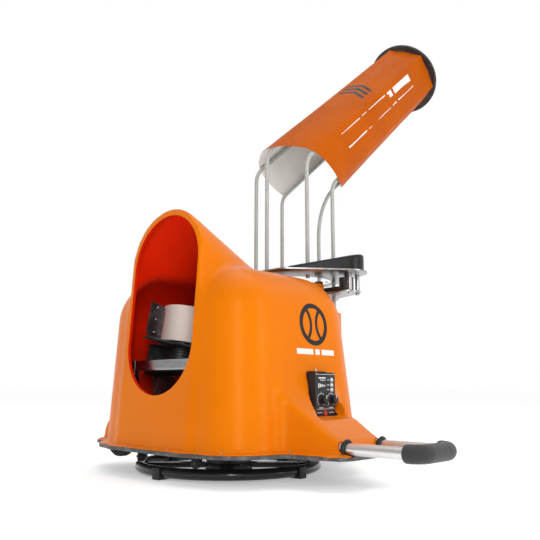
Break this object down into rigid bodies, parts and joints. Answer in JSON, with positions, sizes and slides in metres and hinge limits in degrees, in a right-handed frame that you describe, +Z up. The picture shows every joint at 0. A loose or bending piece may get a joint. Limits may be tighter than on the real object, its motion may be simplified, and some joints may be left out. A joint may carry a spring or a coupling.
{
  "type": "ball pitching machine",
  "caption": "Wheeled ball launcher with a moulded shell, two spinning throwing wheels in a tilting head, a swivel ring base, a pull handle and a rod ball channel above.",
  "frame": {"origin": "on the floor in the middle of the base ring, at the underside of the centre pad", "axes": "+X is the throwing direction, +Y points to the pull-out handle, +Z is up"},
  "size_m": [1.2897, 0.9683, 1.5292],
  "materials": {
    "shell_orange": "satin moulded",
    "banner_fabric": "printed sheet",
    "black_metal": "gloss black",
    "grey_metal": "dark grey powder coat",
    "steel": "zinc plated",
    "aluminium": "satin anodised",
    "white_metal": "satin off-white",
    "black_rubber": "matt",
    "cream_tread": "matt",
    "black_plastic": "matt",
    "panel_plastic": "fine texture",
    "button_plastic": "gloss"
  },
  "bodies": {
    "base": {"base_ring": "black_metal", "base_cross_with_spindle": "black_metal", "centre_pad": "black_rubber", "foot_front": "black_rubber", "foot_left": "black_rubber", "foot_rear": "black_rubber", "foot_right": "black_rubber"},
    "chassis": {"turntable_hub": "grey_metal", "base_plate": "grey_metal", "cart_wheel_bracket_front": "steel", "cart_wheel_bracket_rear": "steel", "shell": "shell_orange", "control_box": "panel_plastic", "handle_guide": "black_plastic", "battery": "black_plastic", "tilt_bracket_left": "grey_metal", "tilt_bracket_right": "grey_metal", "front_crossbar": "steel", "tilt_motor": "black_metal", "ball_chute": "grey_metal", "feed_upper_plate": "steel", "feed_lower_plate": "steel", "feed_spacer_1": "steel", "feed_spacer_2": "steel", "feed_motor": "grey_metal", "feed_cover": "black_plastic", "channel_rod_front": "white_metal", "channel_rod_left_front": "white_metal", "channel_rod_left_rear": "white_metal", "channel_rod_rear": "white_metal", "channel_rod_right_rear": "white_metal", "channel_rod_right_front": "white_metal", "channel_top_ring": "black_plastic", "banner": "banner_fabric"},
    "head": {"head_frame": "grey_metal", "wheel_motor_left": "black_metal", "wheel_motor_right": "black_metal", "exit_guide_left": "black_plastic", "exit_guide_right": "black_plastic", "tilt_sector": "steel"},
    "left_wheel": {"wheel_core_left": "aluminium", "wheel_tread_left": "cream_tread"},
    "right_wheel": {"wheel_core_right": "aluminium", "wheel_tread_right": "cream_tread"},
    "pinion": {"tilt_pinion": "steel"},
    "lever": {"feed_lever": "black_plastic"},
    "handle": {"handle_tube": "aluminium", "handle_grip": "black_rubber"},
    "cart_wheel_front_body": {"cart_wheel_front": "black_rubber"},
    "cart_wheel_rear_body": {"cart_wheel_rear": "black_rubber"},
    "left_knob": {"knob_left": "black_plastic"},
    "right_knob": {"knob_right": "black_plastic"},
    "low_button": {"button_low": "button_plastic"},
    "middle_button": {"button_middle": "button_plastic"},
    "high_button": {"button_high": "button_plastic"},
    "toggle": {"power_toggle": "steel"},
    "roller_1": {"ring_roller_1": "black_rubber"},
    "roller_2": {"ring_roller_2": "black_rubber"},
    "roller_3": {"ring_roller_3": "black_rubber"},
    "roller_4": {"ring_roller_4": "black_rubber"}
  },
  "joints": [
    {"name": "swivel", "type": "hinge", "parent": "base", "child": "chassis", "pos_m": [0, 0, 0.06], "axis": [0, 0, 1], "continuous": true},
    {"name": "tilt", "type": "hinge", "parent": "chassis", "child": "head", "pos_m": [0.04236, 0, 0.27352], "axis": [0, -1, 0], "range_deg": [-5, 22]},
    {"name": "left_wheel_spin", "type": "hinge", "parent": "head", "child": "left_wheel", "pos_m": [0.025, 0.161, 0.372], "axis": [-0.1736, 0, 0.9848], "continuous": true},
    {"name": "right_wheel_spin", "type": "hinge", "parent": "head", "child": "right_wheel", "pos_m": [0.025, -0.161, 0.372], "axis": [-0.1736, 0, 0.9848], "continuous": true},
    {"name": "pinion_spin", "type": "hinge", "parent": "chassis", "child": "pinion", "pos_m": [0.04236, -0.2344, 0.12652], "axis": [0, -1, 0], "range_deg": [-100, 25]},
    {"name": "feed_swing", "type": "hinge", "parent": "chassis", "child": "lever", "pos_m": [-0.258, 0.193, 0.492], "axis": [0, 0, 1], "range_deg": [-22, 22]},
    {"name": "handle_slide", "type": "slide", "parent": "chassis", "child": "handle", "axis": [0, 1, 0], "range_m": [-0.12, 0]},
    {"name": "cart_wheel_front_spin", "type": "hinge", "parent": "chassis", "child": "cart_wheel_front_body", "pos_m": [0.125, -0.3, 0.077], "axis": [1, 0, 0], "continuous": true},
    {"name": "cart_wheel_rear_spin", "type": "hinge", "parent": "chassis", "child": "cart_wheel_rear_body", "pos_m": [-0.125, -0.3, 0.077], "axis": [1, 0, 0], "continuous": true},
    {"name": "knob_left_turn", "type": "hinge", "parent": "chassis", "child": "left_knob", "pos_m": [-0.023, 0.288, 0.181], "axis": [0, 1, 0], "range_deg": [-150, 150]},
    {"name": "knob_right_turn", "type": "hinge", "parent": "chassis", "child": "right_knob", "pos_m": [-0.06, 0.288, 0.181], "axis": [0, 1, 0], "range_deg": [-150, 150]},
    {"name": "button_low_press", "type": "slide", "parent": "chassis", "child": "low_button", "axis": [0, -1, 0], "range_m": [0, 0.002], "stiffness_N_per_m": 300},
    {"name": "button_middle_press", "type": "slide", "parent": "chassis", "child": "middle_button", "axis": [0, -1, 0], "range_m": [0, 0.002], "stiffness_N_per_m": 300},
    {"name": "button_high_press", "type": "slide", "parent": "chassis", "child": "high_button", "axis": [0, -1, 0], "range_m": [0, 0.002], "stiffness_N_per_m": 300},
    {"name": "toggle_throw", "type": "hinge", "parent": "chassis", "child": "toggle", "pos_m": [-0.018, 0.276, 0.239], "axis": [0, 1, 0], "range_deg": [-12, 12]},
    {"name": "roller_1_spin", "type": "hinge", "parent": "chassis", "child": "roller_1", "pos_m": [0.19778, 0.10516, 0.0408], "axis": [0.8829, 0.4695, 0], "continuous": true},
    {"name": "roller_2_spin", "type": "hinge", "parent": "chassis", "child": "roller_2", "pos_m": [-0.19778, 0.10516, 0.0408], "axis": [-0.8829, 0.4695, 0], "continuous": true},
    {"name": "roller_3_spin", "type": "hinge", "parent": "chassis", "child": "roller_3", "pos_m": [-0.19778, -0.10516, 0.0408], "axis": [-0.8829, -0.4695, 0], "continuous": true},
    {"name": "roller_4_spin", "type": "hinge", "parent": "chassis", "child": "roller_4", "pos_m": [0.19778, -0.10516, 0.0408], "axis": [0.8829, -0.4695, 0], "continuous": true}
  ],
  "couplings": [
    {"joint": "pinion_spin", "follows": "tilt", "ratio": -4.4444},
    {"joint": "roller_1_spin", "follows": "swivel", "ratio": -18.667},
    {"joint": "roller_2_spin", "follows": "swivel", "ratio": -18.667},
    {"joint": "roller_3_spin", "follows": "swivel", "ratio": -18.667},
    {"joint": "roller_4_spin", "follows": "swivel", "ratio": -18.667}
  ]
}
